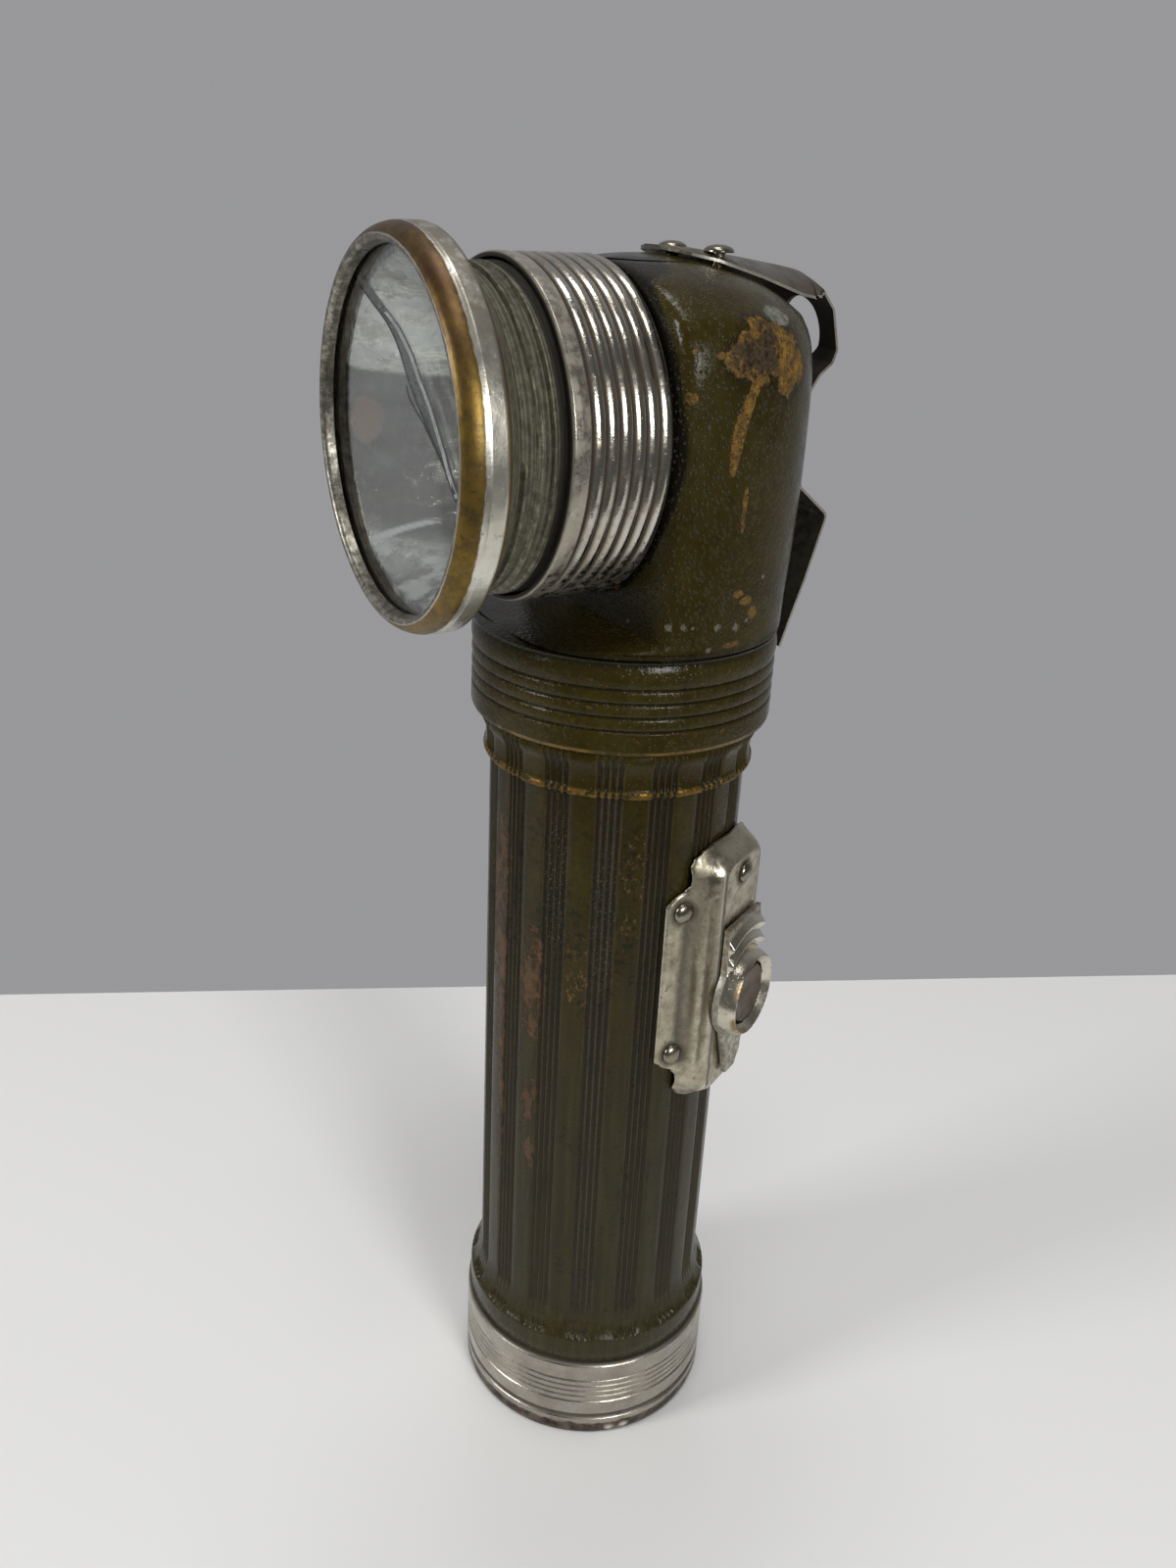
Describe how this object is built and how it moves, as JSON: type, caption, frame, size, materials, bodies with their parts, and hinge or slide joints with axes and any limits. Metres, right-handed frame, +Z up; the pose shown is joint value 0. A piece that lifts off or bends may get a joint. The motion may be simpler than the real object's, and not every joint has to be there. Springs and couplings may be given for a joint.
{
  "type": "angle flashlight",
  "caption": "Two-cell hand torch with a right-angle head, screw lens ring, belt clip, sliding side switch with signal button and screw end cap",
  "frame": {"origin": "middle of the end cap's flat base", "axes": "+Z up the tube, the lens looks towards -Y and the belt clip is at +Y; the switch is at 28.5 degrees from +X towards +Y"},
  "size_m": [0.051, 0.0655, 0.1912],
  "materials": {
    "case_enamel": "dark olive semi-gloss enamel, rubbed through to brass in places",
    "head_enamel": "dark olive semi-gloss enamel, chipped",
    "cap_nickel": "warm worn nickel plate",
    "sleeve_nickel": "bright nickel plate, brown in the grooves",
    "bezel_nickel": "nickel plate, worn to brass on the roll",
    "clip_nickel": "worn nickel plate on spring brass",
    "plate_nickel": "worn nickel plate with brown specks",
    "slider_nickel": "worn nickel plate, brass at the boss's edge",
    "clip_rivets": "worn nickel plate",
    "plate_rivets": "worn nickel plate",
    "button_brass": "dull brass",
    "lens_glass": "clear, cracked",
    "bulb_glass": "clear",
    "silvered": "hazed silver plate",
    "gasket_cork": "cork",
    "inner_brass": "dull brass",
    "filament_wire": "grey wire",
    "pitch": "black pitch",
    "bulb_solder": "solder",
    "red_fibre": "vulcanised fibre",
    "liner_card": "card",
    "cell_zinc": "dull zinc",
    "cell_card": "printed card, plain",
    "spring_steel": "bright spring wire"
  },
  "bodies": {
    "flashlight_body": {"battery_case": "case_enamel", "cell_liner": "liner_card", "lower_cell_can": "cell_zinc", "lower_cell_jacket": "cell_card", "lower_cell_seal": "pitch", "lower_cell_cap": "inner_brass", "upper_cell_can": "cell_zinc", "upper_cell_jacket": "cell_card", "upper_cell_seal": "pitch", "upper_cell_cap": "inner_brass", "head_shell": "head_enamel", "contact_insulator": "red_fibre", "battery_contact": "inner_brass", "socket_bracket": "inner_brass", "tip_contact_strip": "inner_brass", "bulb_socket": "inner_brass", "bulb_glass": "bulb_glass", "bulb_filament": "filament_wire", "bulb_base": "inner_brass", "bulb_insulator": "pitch", "bulb_tip": "bulb_solder", "belt_clip": "clip_nickel", "clip_rivet_right": "clip_rivets", "clip_rivet_left": "clip_rivets", "lens_sleeve": "sleeve_nickel", "switch_plate": "plate_nickel", "plate_rivet_1": "plate_rivets", "plate_rivet_2": "plate_rivets", "plate_rivet_3": "plate_rivets", "plate_rivet_4": "plate_rivets", "channel_rivet": "plate_rivets", "lead_strip": "inner_brass"},
    "lens_pack": {"lens_glass": "lens_glass", "lens_gasket": "gasket_cork", "reflector": "silvered"},
    "bezel": {"bezel_ring": "bezel_nickel"},
    "spring": {"battery_spring": "spring_steel"},
    "cap": {"end_cap": "cap_nickel"},
    "slider": {"switch_slider": "slider_nickel"},
    "button": {"signal_button": "button_brass"}
  },
  "joints": [
    {"name": "bezel_travel", "type": "slide", "parent": "flashlight_body", "child": "lens_pack", "axis": [0, -1, 0], "range_m": [-0.004, 0.004]},
    {"name": "bezel_turn", "type": "hinge", "parent": "lens_pack", "child": "bezel", "pos_m": [0, 0, 0.16645], "axis": [0, -1, 0], "range_deg": [-720, 720]},
    {"name": "end_cap_travel", "type": "slide", "parent": "flashlight_body", "child": "spring", "axis": [0, 0, -1], "range_m": [0, 0.003]},
    {"name": "end_cap_turn", "type": "hinge", "parent": "spring", "child": "cap", "pos_m": [0, 0, 0], "axis": [0, 0, -1], "range_deg": [0, 540]},
    {"name": "switch_slide", "type": "slide", "parent": "flashlight_body", "child": "slider", "axis": [0, 0, 1], "range_m": [0, 0.005]},
    {"name": "signal_button_push", "type": "slide", "parent": "slider", "child": "button", "axis": [-0.8788, -0.4772, 0], "range_m": [0, 0.0008], "stiffness_N_per_m": 1500}
  ],
  "couplings": [
    {"joint": "bezel_travel", "follows": "bezel_turn", "m_per_rad": 0.00031831},
    {"joint": "end_cap_travel", "follows": "end_cap_turn", "m_per_rad": 0.00031831}
  ]
}
